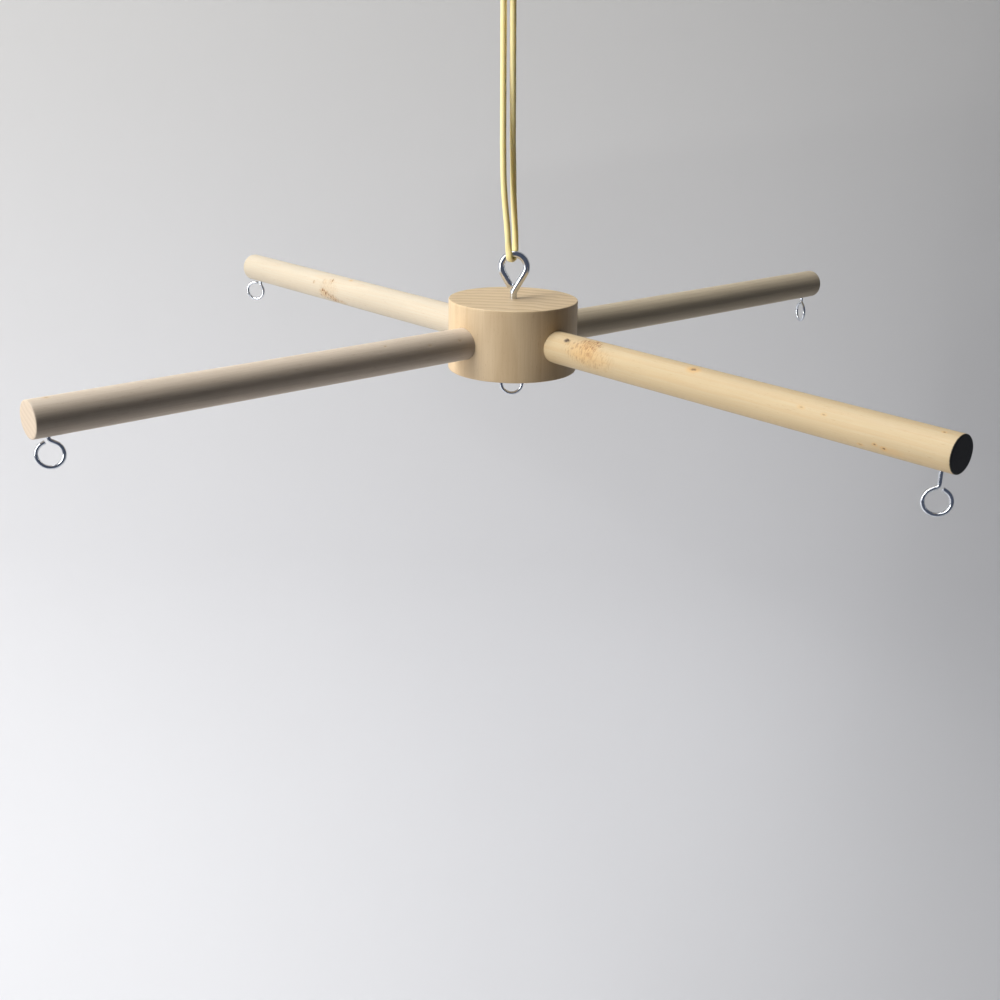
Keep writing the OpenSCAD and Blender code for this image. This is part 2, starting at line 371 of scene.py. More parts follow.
def screw_eye(name, wire, ring, flare, neck, thread, pitch, lean=0.0):
    """A screw eye that stands on z = 0 with its thread below and its ring in the XZ plane."""
    rows = math.ceil(thread / pitch * THREAD_STEPS)
    depths = [PLAIN_SHANK + thread * i / rows for i in range(rows, -1, -1)]
    stops = [(Vector((0, 0, -depth)), 0.0) for depth in depths]
    first_plain = len(stops)
    stops += eye_wire_line(wire, ring, flare, neck, lean)
    end_point, end_heading = stops[-1]
    stops += straight(end_point, end_heading, 0.09 * wire, 3)
    end = len(stops) - 1
    points = [point for point, heading in stops]
    frames = []
    for point, heading in stops:
        along = Vector((math.sin(heading), 0, math.cos(heading)))
        frames.append((along, Vector((math.cos(heading), 0, -math.sin(heading)))))

    def radius(stop, angle):
        if stop < first_plain:
            return thread_radius(wire, thread, pitch, depths[stop], angle)
        left = end - stop
        rounding = 1 - 0.22 * max(0, 1 - left / 3) ** 2
        return wire / 2 * rounding

    return tube(name, points, radius, WIRE_SIDES, frames)


# %% Sizes of the eyes, and how each stands
SMALL = dict(wire=1.3 * MM, ring=6.8 * MM, flare=math.radians(62), thread=8 * MM, pitch=1 * MM)
BIG = dict(wire=2.7 * MM, ring=6.8 * MM, flare=math.radians(30), thread=12.5 * MM, pitch=1.3 * MM)
STANDS = {
    "front_left": dict(turn=20, neck=0.4, lean=0),
    "front_right": dict(turn=168, neck=4.3, lean=0),
    "rear_right": dict(turn=-74, neck=1.5, lean=0),
    "rear_left": dict(turn=-10, neck=1.35, lean=35),
}


def hung_eye(name, joint, body, node, turn, neck, lean):
    """A small eye screwed upwards into the wood at a joint's place."""
    eye = screw_eye(name, neck=neck * MM, lean=math.radians(lean), **SMALL)
    eye.matrix_world = (
        Matrix.Translation(joints[joint]["pos_m"])
        @ Matrix.Rotation(math.radians(turn), 4, "Z")
        @ Matrix.Rotation(math.pi, 4, "X")
    )
    bpy.context.view_layer.update()
    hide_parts(node)
    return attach(eye, body)


eyes = []
for corner, stand in STANDS.items():
    node = "eye_" + corner
    eyes.append(hung_eye("screw_" + node, corner + "_eye_turn", node, node, **stand))
eyes.append(
    hung_eye("screw_eye_bottom", "bottom_eye_turn", "bottom_eye", "bottom_eye", 0, 0.85, 0)
)

hub_face = Vector(joints["hub_turn"]["pos_m"])
top_eye = screw_eye("screw_eye_top", neck=1.9 * MM, **BIG)
top_eye.matrix_world = Matrix.Translation(hub_face)
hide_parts("top_eye")
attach(top_eye, "top_eye")
eyes.append(top_eye)


# %% [markdown]
# ## The wooden pieces
# The arms are cut from a long dowel and the hub is turned, so both are round bars. A bar is lathed
# here from a half outline, in many fine rows, because the faces then have points to move: a dowel
# is never quite round, a sawn end is a little rough, its edge is broken unevenly, and knots stand
# proud or leave a pit. The holes are cut last, with a Boolean, so that they stay true and round.

# %% A lathed bar
def lathe(name, outline, sides, shape):
    """A bar along +X from outline points (x, radius). shape moves a point of the finished bar."""
    made = bmesh.new()
    rings = []
    for x, radius in outline:
        ring = []
        for k in range(sides):
            angle = 2 * math.pi * k / sides
            point = Vector((x, radius * math.cos(angle), radius * math.sin(angle)))
            ring.append(made.verts.new(shape(point)))
        rings.append(ring)
    for low, high in zip(rings, rings[1:]):
        for k in range(sides):
            nxt = (k + 1) % sides
            made.faces.new((low[k], high[k], high[nxt], low[nxt]))
    for x, ring in ((outline[0][0], rings[0]), (outline[-1][0], rings[-1])):
        middle = made.verts.new(shape(Vector((x, 0, 0))))
        for k in range(sides):
            made.faces.new((ring[k], ring[(k + 1) % sides], middle))
    return finish_mesh(name, made)


def bar_outline(length, radius, edge, row, cap_rows=10, edge_rows=4, extra=()):
    """Half outline of a bar from x = 0 to length, with rounded edges and rows of even width."""
    cap = [(0.0, (radius - edge) * i / cap_rows) for i in range(1, cap_rows)]
    corner = []
    for i in range(edge_rows + 1):
        angle = math.pi / 2 * i / edge_rows
        corner.append((edge - edge * math.cos(angle), radius - edge + edge * math.sin(angle)))
    rows = max(2, round((length - 2 * edge) / row))
    places = {round(edge + (length - 2 * edge) * i / rows, 6) for i in range(1, rows)}
    places |= {round(x, 6) for x in extra}
    body = [(x, radius) for x in sorted(places)]
    start = cap + corner
    finish = [(length - x, r) for x, r in reversed(start)]
    return start + body + finish


def carve(piece, cutter):
    """Cuts the cutter out of the piece, and removes the cutter."""
    cut = piece.modifiers.new("cut", "BOOLEAN")
    cut.operation, cut.solver, cut.object = "DIFFERENCE", "EXACT", cutter
    bpy.context.view_layer.update()
    finished = piece.evaluated_get(bpy.context.evaluated_depsgraph_get())
    mesh = bpy.data.meshes.new_from_object(finished)
    piece.modifiers.clear()
    piece.data = mesh
    bpy.data.objects.remove(cutter)


def soften(piece, degrees=38):
    """Smooth shading, with a crisp line wherever two faces meet at more than that angle."""
    for face in piece.data.polygons:
        face.use_smooth = True
    piece.data.set_sharp_from_angle(angle=math.radians(degrees))


def drill(radius, start, way, depth, sides=48):
    """A straight cutter from start along way, that begins one millimetre before it."""
    way = Vector(way).normalized()
    line = [Vector(start) - way * MM, Vector(start) + way * depth]
    return tube("cutter", line, radius, sides)


# %% Measures of the arms, from the design's boxes
low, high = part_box("arm_front_right")
arm_radius = (high.z - low.z) / 2
arm_height = (high.z + low.z) / 2
hub_low, hub_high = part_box("hub")
hub_radius = (hub_high.x - hub_low.x) / 2
hub_axis = Vector(((hub_high.x + hub_low.x) / 2, (hub_high.y + hub_low.y) / 2, 0))
arm_tip = ((high.x - hub_axis.x) - arm_radius * math.sqrt(0.5)) / math.sqrt(0.5)
arm_root = ((low.x - hub_axis.x) + arm_radius * math.sqrt(0.5)) / math.sqrt(0.5)
arm_length = arm_tip - arm_root
print("arm:", round(arm_radius * 2000, 2), "mm thick, from", round(arm_root * 1000, 2), "to",
      round(arm_tip * 1000, 2), "mm")

# %% The arms
ARM_SIDES = 128
ARM_ROW = 0.8 * MM
ARM_EDGE = 0.42 * MM
SAW_MARKS = 0.03 * MM
OUT_OF_ROUND = 0.045 * MM
ARM_WEAR = 0.14 * MM
ARM_WEAR_REACH = 0.5 * MM
PIN_HOLE = 0.7 * MM
PIN_DEPTH = 9.1 * MM

# Marks that change an arm's surface: place along the arm from the hub's axis, angle round it (0 is
# the arm's left side, looking outwards, and 90 the top), length, width and height, all in
# millimetres; a height below zero is a pit.
DENTS = {
    "front_right": [(33.5, 128, 0.9, 0.55, -0.6), (34.9, 125, 0.4, 0.3, -0.25),
                    (45.6, 122, 1.6, 1.2, 0.06), (169, -154, 0.8, 0.6, -0.08)],
    "rear_left": [(121, -20, 3.0, 1.8, 0.06), (115, -34, 2.2, 1.5, 0.05)],
    "front_left": [(44.5, 31, 0.8, 0.5, -0.1), (63, 56, 0.6, 0.4, -0.12),
                   (30.6, 30, 0.8, 0.5, -0.1), (66.5, 37, 0.7, 0.5, -0.08)],
    "rear_right": [(116.2, 162, 0.5, 0.4, 0.06)],
}


def arm_shape(corner, seed):
    """Moves the points of an ideal dowel to those of a real one. x runs from the inner end."""
    dents = []
    for along, angle, length, width, height in DENTS[corner]:
        angle = math.radians(angle)
        out = Vector((0, math.cos(angle), math.sin(angle)))
        spot = Vector((along * MM - arm_root, 0, 0)) + out * arm_radius
        dents.append((spot, length * MM, width * MM, height * MM))

    def shape(point):
        out = Vector((0, point.y, point.z))
        rim = out.length / arm_radius
        if rim < 1e-6:
            return point
        out.normalize()
        grain = Vector((point.x * 14, point.y * 90, point.z * 90)) + Vector((seed, 0, 0))
        push = noise.noise(grain) * OUT_OF_ROUND * rim ** 4
        wear = noise.noise(Vector((out.y * 2.2, out.z * 2.2, seed + point.x * 400)))
        end = min(point.x, arm_length - point.x)
        push -= max(0.0, wear) * ARM_WEAR * math.exp(-end / ARM_WEAR_REACH) * rim ** 6
        for spot, length, width, height in dents:
            away = point - spot
            if abs(away.x) < 4 * length and away.length < 8 * length:
                sideways = Vector((0, away.y, away.z)).length
                push += height * math.exp(-((away.x / length) ** 2) - (sideways / width) ** 2)
        saw = 0.0
        if end < 1e-6:
            saw = noise.noise(Vector((point.y * 700, point.z * 2600, seed))) * SAW_MARKS
        return point + out * push + Vector((saw, 0, 0))

    return shape


def arm_rows(corner):
    """Extra fine rows where a small pit needs them."""
    rows = []
    for along, angle, length, width, height in DENTS[corner]:
        if length < 1:
            middle = along * MM - arm_root
            rows += [middle + (i / 8) * 3 * length * MM for i in range(-8, 9)]
    return rows


arms = {}
for seed, corner in enumerate(STANDS):
    outline = bar_outline(arm_length, arm_radius, ARM_EDGE, ARM_ROW, extra=arm_rows(corner))
    arm = lathe("dowel_" + corner, outline, ARM_SIDES, arm_shape(corner, 7.3 * seed))
    away = Vector(joints[corner + "_pull"]["axis"])
    turn = math.atan2(away.y, away.x)
    place = Matrix.Translation((hub_axis.x, hub_axis.y, arm_height)) @ Matrix.Rotation(turn, 4, "Z")
    arm.matrix_world = place @ Matrix.Translation((arm_root, 0, 0))
    bpy.context.view_layer.update()
    pin = arm.matrix_world.inverted() @ Vector(joints[corner + "_eye_turn"]["pos_m"])
    cutter = drill(PIN_HOLE, pin, (0, 0, 1), PIN_DEPTH)
    cutter.matrix_world = arm.matrix_world
    carve(arm, cutter)
    soften(arm)
    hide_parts("arm_" + corner)
    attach(arm, "arm_" + corner)
    arms[corner] = arm
    print(arm.name, len(arm.data.polygons), "faces")

# %% The hub
HUB_SIDES = 256
HUB_EDGE = 0.35 * MM
HUB_ROW = 0.9 * MM
SANDING = 0.04 * MM
HUB_WEAR = 0.16 * MM
HUB_WEAR_REACH = 0.45 * MM
SOCKET_PLAY = 0.08 * MM
SOCKET_FLOOR = hub_radius - 16 * MM
TOP_HOLE, TOP_HOLE_DEPTH = 1.4 * MM, 13.6 * MM


def hub_shape(point):
    """Faint sanding unevenness, and an edge that is worn a little more here and there."""
    out = Vector((0, point.y, point.z))
    rim = out.length / hub_radius
    if rim < 1e-6:
        return point
    out.normalize()
    end = min(point.x, hub_high.z - hub_low.z - point.x)
    push = noise.noise(Vector((point.x * 60, point.y * 30, point.z * 30))) * SANDING * rim ** 8
    wear = max(0.0, noise.noise(Vector((out.y * 3, out.z * 3, 31 + point.x * 200))))
    push -= wear * HUB_WEAR * math.exp(-end / HUB_WEAR_REACH) * rim ** 30
    return point + out * push


hub_outline = bar_outline(
    hub_high.z - hub_low.z, hub_radius, HUB_EDGE, HUB_ROW, cap_rows=28, edge_rows=5
)
hub = lathe("turned_hub", hub_outline, HUB_SIDES, hub_shape)
hub.matrix_world = Matrix.Translation((hub_axis.x, hub_axis.y, hub_low.z)) @ Matrix.Rotation(
    -math.pi / 2, 4, "Y"
)
for corner in STANDS:
    away = Vector(joints[corner + "_pull"]["axis"])
    level = Vector((hub_axis.x, hub_axis.y, arm_height))
    mouth = level + away * (hub_radius + 2 * MM)
    carve(hub, drill(arm_radius + SOCKET_PLAY, mouth, -away, hub_radius + 2 * MM - SOCKET_FLOOR, 96))
carve(hub, drill(TOP_HOLE, hub_face, (0, 0, -1), TOP_HOLE_DEPTH))
carve(hub, drill(PIN_HOLE, joints["bottom_eye_turn"]["pos_m"], (0, 0, 1), PIN_DEPTH))
soften(hub)
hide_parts("hub")
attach(hub, "hub")
print(hub.name, len(hub.data.polygons), "faces")


# %% [markdown]
# ## Shared effects, as node groups
# Wood needs the same three things on every piece: growth rings, fine fibres, and knots. Each is a
# small node group that takes a place in the piece's own space and gives back a mask between 0 and 1.
# The material then decides on colours. Groups like these can be placed again with other values,
# where a copy of the nodes in every material would drift apart.

# %% Small helpers for node trees
def add(tree, kind, at=(0, 0), **settings):
    """A node of that kind; settings are its own properties."""
    node = tree.nodes.new(kind)
    node.location = at
    for name, value in settings.items():
        setattr(node, name, value)
    return node


def plug(tree, target, value):
    """Joins a socket to another one, or sets its value."""
    if isinstance(value, bpy.types.NodeSocket):
        tree.links.new(value, target)
    else:
        target.default_value = value


def maths(tree, operation, first, second=None, third=None, clamp=False):
    node = add(tree, "ShaderNodeMath", operation=operation, use_clamp=clamp)
    for target, value in zip(node.inputs, (first, second, third)):
        if value is not None:
            plug(tree, target, value)
    return node.outputs[0]


def vector(tree, operation, first, second=None):
    node = add(tree, "ShaderNodeVectorMath", operation=operation)
    for target, value in zip(node.inputs, (first, second)):
        if value is not None:
            plug(tree, target, value)
    return node.outputs["Value"] if operation in ("LENGTH", "DISTANCE") else node.outputs[0]


def mix(tree, share, first, second):
    """Mixes two colours."""
    node = add(tree, "ShaderNodeMix", data_type="RGBA")
    plug(tree, node.inputs["Factor"], share)
    plug(tree, node.inputs["A"], first)
    plug(tree, node.inputs["B"], second)
    return node.outputs["Result"]


def spread(tree, value, low, high, to_low=0.0, to_high=1.0):
    """Stretches a value from one range to another, softly at both ends."""
    node = add(tree, "ShaderNodeMapRange", interpolation_type="SMOOTHSTEP")
    for name, number in (("From Min", low), ("From Max", high), ("To Min", to_low), ("To Max", to_high)):
        plug(tree, node.inputs[name], number)
    plug(tree, node.inputs["Value"], value)
    return node.outputs["Result"]


def cloud(tree, place, scale, detail=2.0, roughness=0.5):
    """Noise between 0 and 1 at a place."""
    node = add(tree, "ShaderNodeTexNoise")
    plug(tree, node.inputs["Vector"], place)
    plug(tree, node.inputs["Scale"], scale)
    plug(tree, node.inputs["Detail"], detail)
    plug(tree, node.inputs["Roughness"], roughness)
    return node.outputs["Fac"]


def group(name, inputs, outputs):
    """An empty node group with named sockets: its tree, its input node and its output node."""
    tree = bpy.data.node_groups.new(name, "ShaderNodeTree")
    for label, kind, value in inputs:
        socket = tree.interface.new_socket(label, in_out="INPUT", socket_type=kind)
        if value is not None:
            socket.default_value = value
    for label, kind in outputs:
        tree.interface.new_socket(label, in_out="OUTPUT", socket_type=kind)
    return tree, add(tree, "NodeGroupInput", (-900, 0)), add(tree, "NodeGroupOutput", (900, 0))


def place_group(tree, shared, **values):
    """A node that uses a shared group; values are joined or set by socket name."""
    node = add(tree, "ShaderNodeGroup")
    node.node_tree = shared
    for name, value in values.items():
        plug(tree, node.inputs[name.replace("_", " ")], value)
    return node


# %% [markdown]
# ### Growth rings and fibres
# A dowel is sawn from a plank, so its rings are slices of big circles round a pith that lies well
# outside it. The distance from that pith line, bent a little by slow noise, gives the rings: a
# gentle rise over the pale early wood and a quick fall after the dark late wood. Fibres are noise
# that is stretched many times along the grain.

# %% Wood figure group
FLOAT, VECTOR = "NodeSocketFloat", "NodeSocketVector"

wood_figure, given, result = group(
    "wood figure",
    [("Place", VECTOR, None), ("Pith", VECTOR, (0, 0.05, 0.03)), ("Ring Width", FLOAT, 0.0012),
     ("Waviness", FLOAT, 0.0012), ("Seed", FLOAT, 0.0)],
    [("Rings", FLOAT), ("Fibres", FLOAT), ("Flecks", FLOAT), ("Patches", FLOAT)],
)
shift = add(wood_figure, "ShaderNodeCombineXYZ")
plug(wood_figure, shift.inputs["X"], given.outputs["Seed"])
seeded = vector(wood_figure, "ADD", given.outputs["Place"], shift.outputs[0])
slow = vector(wood_figure, "MULTIPLY", seeded, (14.0, 90.0, 90.0))
bends = maths(wood_figure, "SUBTRACT", cloud(wood_figure, slow, 1.0, 1.5), 0.5)
from_pith = vector(wood_figure, "SUBTRACT", given.outputs["Place"], given.outputs["Pith"])
flat = vector(wood_figure, "MULTIPLY", from_pith, (0.0, 1.0, 1.0))
reach = vector(wood_figure, "LENGTH", flat)
bent = maths(wood_figure, "MULTIPLY_ADD", bends, given.outputs["Waviness"], reach)
turns = maths(wood_figure, "FRACT", maths(wood_figure, "DIVIDE", bent, given.outputs["Ring Width"]))
rise = maths(wood_figure, "POWER", turns, 2.2)
fall = spread(wood_figure, turns, 0.86, 1.0, 1.0, 0.0)
plug(wood_figure, result.inputs["Rings"], maths(wood_figure, "MULTIPLY", rise, fall))
long_fibres = vector(wood_figure, "MULTIPLY", seeded, (60.0, 3200.0, 3200.0))
fibres = cloud(wood_figure, long_fibres, 1.0, 3.0, 0.6)
plug(wood_figure, result.inputs["Fibres"], spread(wood_figure, fibres, 0.32, 0.68))
short = vector(wood_figure, "MULTIPLY", seeded, (420.0, 4200.0, 4200.0))
flecks = cloud(wood_figure, short, 1.0, 1.0)
plug(wood_figure, result.inputs["Flecks"], spread(wood_figure, flecks, 0.66, 0.78))
broad = vector(wood_figure, "MULTIPLY", seeded, (22.0, 120.0, 120.0))
patches = cloud(wood_figure, broad, 1.0, 3.0)
plug(wood_figure, result.inputs["Patches"], spread(wood_figure, patches, 0.3, 0.7))
print("wood figure group:", len(wood_figure.nodes), "nodes")


# %% [markdown]
# ### Knots
# A knot is a cut twig: a small dark core, and a soft warm halo where the grain bends round it. The
# group measures how far a place is from the knot's middle, squeezed along the grain to make an oval,
# and breaks the edge up with noise so that it feathers out. Where the grain curls round a knot, the
# dowel's cutter meets it across, and that shows as short brown strokes across the dowel. The group
# gives the halo, the core and the strokes as three masks, because each takes its own colour.

# %% Knot group
knot_mark, given, result = group(
    "knot",
    [("Place", VECTOR, None), ("Middle", VECTOR, (0, 0, 0)), ("Length", FLOAT, 0.004),
     ("Width", FLOAT, 0.002), ("Feather", FLOAT, 0.5), ("Seed", FLOAT, 0.0)],
    [("Halo", FLOAT), ("Core", FLOAT), ("Curls", FLOAT)],
)
away = vector(knot_mark, "SUBTRACT", given.outputs["Place"], given.outputs["Middle"])
size = add(knot_mark, "ShaderNodeCombineXYZ")
for axis, label in (("X", "Length"), ("Y", "Width"), ("Z", "Width")):
    plug(knot_mark, size.inputs[axis], given.outputs[label])
oval = vector(knot_mark, "LENGTH", vector(knot_mark, "DIVIDE", away, size.outputs[0]))
shift = add(knot_mark, "ShaderNodeCombineXYZ")
plug(knot_mark, shift.inputs["Y"], given.outputs["Seed"])
seeded = vector(knot_mark, "ADD", given.outputs["Place"], shift.outputs[0])
fine = vector(knot_mark, "MULTIPLY", seeded, (900.0, 1500.0, 1500.0))
rough = maths(knot_mark, "SUBTRACT", cloud(knot_mark, fine, 1.0, 3.0, 0.65), 0.5)
ragged = maths(knot_mark, "MULTIPLY_ADD", rough, given.outputs["Feather"], oval)
plug(knot_mark, result.inputs["Halo"], spread(knot_mark, ragged, 0.25, 1.0, 1.0, 0.0))
plug(knot_mark, result.inputs["Core"], spread(knot_mark, ragged, 0.12, 0.42, 1.0, 0.0))
strokes = vector(knot_mark, "MULTIPLY", seeded, (1700.0, 620.0, 620.0))
curls = spread(knot_mark, cloud(knot_mark, strokes, 1.0, 2.0, 0.55), 0.50, 0.62)
inside = spread(knot_mark, oval, 0.45, 1.15, 1.0, 0.0)
plug(knot_mark, result.inputs["Curls"], maths(knot_mark, "MULTIPLY", curls, inside))
print("knot group:", len(knot_mark.nodes), "nodes")


# %% [markdown]
# ### The arms' wood
# The four dowels come from different lengths of stock, so each has its own seed, ring width, tone
# and knots. The end grain is told from the long grain by which way the surface faces: across the
# ends the rings show dark and close, and the wood drinks light, so the ends are a little darker and
# rougher. One arm has its outer end painted black.

# %% Knots on the arms
# Along the arm from the hub's axis and angle round it, then the oval's length and width, in
# millimetres and degrees, and how strong the halo, the core and the curls are.
KNOTS = {
    "front_right": [
        (33.8, 128, 5.0, 3.0, 0.2, 1.0, 0.0), (45.6, 121, 6.0, 4.2, 0.7, 0.25, 1.0),
        (43.0, 150, 10, 6.0, 0.6, 0.0, 0.45), (50, 172, 11, 5.0, 0.45, 0.0, 0.25),
        (93.1, 114, 4.2, 2.4, 1.0, 0.65, 0.0), (138.8, 148, 2.4, 1.0, 0.5, 0.3, 0.0),
        (147.4, 153, 1.7, 0.8, 0.5, 0.35, 0.0), (160.8, -146, 1.9, 0.9, 0.7, 0.35, 0.0),
        (166, -161, 1.4, 0.9, 0.9, 0.7, 0.0), (169.1, -154, 1.8, 1.1, 1.0, 1.0, 0.0),
        (171.5, -150, 6.0, 2.2, 0.35, 0.0, 0.0), (185.3, 108, 1.3, 0.9, 0.8, 0.9, 0.0),
        (120, -60, 3.0, 1.8, 0.5, 0.4, 0.3), (70, -70, 1.5, 1.0, 0.5, 0.5, 0.0),
    ],
    "rear_left": [
        (121, -18, 5.0, 3.2, 0.5, 0.0, 1.0), (114.5, -33, 4.6, 2.6, 0.5, 0.0, 1.0),
        (109, -42, 5.0, 1.6, 0.35, 0.0, 0.5), (116.8, 46, 2.4, 1.8, 0.3, 0.0, 0.75),
        (121.4, 36, 2.0, 1.6, 0.25, 0.0, 0.65), (129.2, 22, 1.4, 1.0, 0.3, 0.0, 0.5),
        (105.8, 75, 2.2, 1.2, 0.75, 0.2, 0.0), (117, 10, 9.0, 4.5, 0.18, 0.0, 0.15),
        (60, 150, 3.0, 1.6, 0.5, 0.4, 0.3),
    ],
    "front_left": [
        (63.1, 57, 1.0, 0.6, 0.4, 0.5, 0.0), (30.6, 30, 1.4, 0.8, 0.3, 0.3, 0.0),
        (184.8, 84, 1.8, 1.1, 0.5, 0.3, 0.0), (95, -120, 2.6, 1.5, 0.5, 0.5, 0.3),
        (44.5, 31, 1.2, 0.8, 0.3, 0.2, 0.0),
    ],
    "rear_right": [
        (60, 40, 3.2, 1.8, 0.5, 0.5, 0.4), (132, 70, 1.4, 0.9, 0.4, 0.3, 0.0),
        (90, -100, 2.2, 1.2, 0.5, 0.5, 0.0),
    ],
}
# Pale and late wood, how strong the rings show, how wide they are in millimetres, and a seed.
ARM_TONES = {
    "front_left": dict(
        pale=(0.70, 0.585, 0.46), late=(0.46, 0.35, 0.25), rings=0.30, width=2.1, seed=3.1,
    ),
    "front_right": dict(
        pale=(0.575, 0.455, 0.275), late=(0.53, 0.35, 0.17), rings=0.45, width=3.4, seed=11.7,
    ),
    "rear_right": dict(
        pale=(0.57, 0.475, 0.33), late=(0.38, 0.29, 0.21), rings=0.40, width=1.7, seed=23.9,
    ),
    "rear_left": dict(
        pale=(0.63, 0.56, 0.44), late=(0.62, 0.47, 0.31), rings=0.50, width=0.95, seed=37.3,
    ),
}
TAN = (0.62, 0.38, 0.15, 1)
BROWN = (0.32, 0.14, 0.045, 1)
DARK_BROWN = (0.22, 0.09, 0.03, 1)
DARK_CORE = (0.035, 0.017, 0.009, 1)
BLACK_PAINT = (0.012, 0.011, 0.010, 1)
PAINT_DEPTH = 0.4 * MM
GRAIN_DEPTH = 0.06 * MM


def opaque(colour):
    return (*colour, 1)


def arm_spot(along, angle):
    """A place on an arm's surface, in the arm's own space."""
    angle = math.radians(angle)
    return (along * MM - arm_root, arm_radius * math.cos(angle), arm_radius * math.sin(angle))


def new_material(name):
    """A material with an empty tree but for its shader and its output."""
    material = bpy.data.materials.new(name)
    material.use_nodes = True
    tree = material.node_tree
    shader = tree.nodes["Principled BSDF"]
    return material, tree, shader


# %% Layers of colour, relief and end grain, for any of the materials
def tinted(tree, colour, masks, *layers):
    """A colour with others laid over it; a layer is a mask's name, its strength and its colour."""
    for mask, strength, tint in layers:
        colour = mix(tree, maths(tree, "MULTIPLY", masks.outputs[mask], strength), colour, tint)
    return colour


def relief(tree, shader, height, strength, depth):
    """Shades the surface as if a mask raised it by that depth."""
    bump = add(tree, "ShaderNodeBump")
    bump.inputs["Strength"].default_value = strength
    bump.inputs["Distance"].default_value = depth
    plug(tree, bump.inputs["Height"], height)
    plug(tree, shader.inputs["Normal"], bump.outputs["Normal"])


def end_grain_mask(tree, spots):
    """One where the surface faces along the grain, and nothing on the long grain."""
    facing = add(tree, "ShaderNodeSeparateXYZ")
    plug(tree, facing.inputs[0], spots.outputs["Normal"])
    return spread(tree, maths(tree, "ABSOLUTE", facing.outputs["X"]), 0.75, 0.95)


# %% Arm material
def arm_wood(corner):
    tone = ARM_TONES[corner]
    material, tree, shader = new_material("wood_" + corner)
    spots = add(tree, "ShaderNodeTexCoord")
    place = spots.outputs["Object"]
    figure = place_group(
        tree, wood_figure, Place=place, Pith=(0, 0.022, 0.034), Ring_Width=tone["width"] * MM,
        Waviness=0.0035, Seed=tone["seed"],
    )
    pale, late = opaque(tone["pale"]), opaque(tone["late"])
    darker = opaque(tuple(0.80 * c for c in tone["pale"]))
    colour = tinted(
        tree, pale, figure, ("Rings", tone["rings"], late), ("Patches", 0.35, darker),
        ("Fibres", 0.26, late), ("Flecks", 0.30, BROWN),
    )
    for number, (along, angle, length, width, halo, core, curls) in enumerate(KNOTS[corner]):
        mark = place_group(
            tree, knot_mark, Place=place, Middle=arm_spot(along, angle), Length=length * MM,
            Width=width * MM, Feather=0.55, Seed=1.7 * number,
        )
        colour = tinted(
            tree, colour, mark, ("Halo", 0.85 * halo, TAN), ("Curls", curls, DARK_BROWN),
            ("Core", core, DARK_CORE),
        )
    end_speck = maths(tree, "MULTIPLY", cloud(tree, place, 2600.0, 2.0), 0.35)
    end_colour = mix(tree, end_speck, tinted(tree, pale, figure, ("Rings", 0.5, late)), late)
    colour = mix(tree, end_grain_mask(tree, spots), colour, end_colour)
    roughness = maths(tree, "MULTIPLY_ADD", figure.outputs["Fibres"], 0.12, 0.50)
    if corner == "front_right":
        along = add(tree, "ShaderNodeSeparateXYZ")
        plug(tree, along.inputs[0], place)
        edge = maths(tree, "MULTIPLY_ADD", cloud(tree, place, 1800.0), 0.3 * MM, along.outputs["X"])
        painted = spread(tree, edge, arm_length - PAINT_DEPTH, arm_length - PAINT_DEPTH / 4)
        colour = mix(tree, painted, colour, BLACK_PAINT)
        roughness = maths(tree, "MULTIPLY_ADD", painted, -0.05, roughness)
    plug(tree, shader.inputs["Base Color"], colour)
    plug(tree, shader.inputs["Roughness"], roughness)
    relief(tree, shader, maths(tree, "MULTIPLY", figure.outputs["Fibres"], 0.5), 0.25, GRAIN_DEPTH)
    return material


for corner, arm in arms.items():
    arm.data.materials.clear()
    arm.data.materials.append(arm_wood(corner))
    print("wood for", arm.name, len(arm.data.materials[0].node_tree.nodes), "nodes")


# %% [markdown]
# ### The hub's wood
# The hub is turned with its grain upright: the rings show as long, gently curved streaks across the
# top and bottom, and as soft upright bands round the side. Its own space has +X along its axis,
# like the arms, so the same group serves.

# %% Hub material
HUB_PALE = (0.74, 0.565, 0.355, 1)
HUB_LATE = (0.54, 0.37, 0.20, 1)
HUB_PATCH = (0.62, 0.455, 0.27, 1)
HUB_END = (0.62, 0.475, 0.29, 1)
HUB_END_RING = (0.36, 0.235, 0.11, 1)


def hub_wood():
    material, tree, shader = new_material("wood_hub")
    spots = add(tree, "ShaderNodeTexCoord")
    place = spots.outputs["Object"]
    figure = place_group(
        tree, wood_figure, Place=place, Pith=(0, -0.085, 0.01), Ring_Width=5.6 * MM,
        Waviness=0.006, Seed=51.3,
    )
    colour = tinted(
        tree, HUB_PALE, figure, ("Rings", 0.45, HUB_LATE), ("Patches", 0.45, HUB_PATCH),
        ("Fibres", 0.24, HUB_LATE), ("Flecks", 0.28, BROWN),
    )
    end_colour = tinted(tree, HUB_END, figure, ("Rings", 0.95, HUB_END_RING))
    end_speck = maths(tree, "MULTIPLY", cloud(tree, place, 1900.0, 2.0), 0.3)
    end_colour = mix(tree, end_speck, end_colour, HUB_LATE)
    colour = mix(tree, end_grain_mask(tree, spots), colour, end_colour)
    plug(tree, shader.inputs["Base Color"], colour)
    roughness = maths(tree, "MULTIPLY_ADD", figure.outputs["Fibres"], 0.12, 0.46)
    plug(tree, shader.inputs["Roughness"], roughness)
    relief(tree, shader, figure.outputs["Fibres"], 0.2, GRAIN_DEPTH)
    return material


hub.data.materials.clear()
hub.data.materials.append(hub_wood())


# %% [markdown]
# ### Bright zinc
# Plated wire is shiny but not a mirror: the plating softens the reflections, it has fine lines
# along the wire from drawing, and a faint blue cast. A metal shader with a low, slightly uneven
# roughness does it. The drawn lines follow the wire through the surface map that the sweep laid.

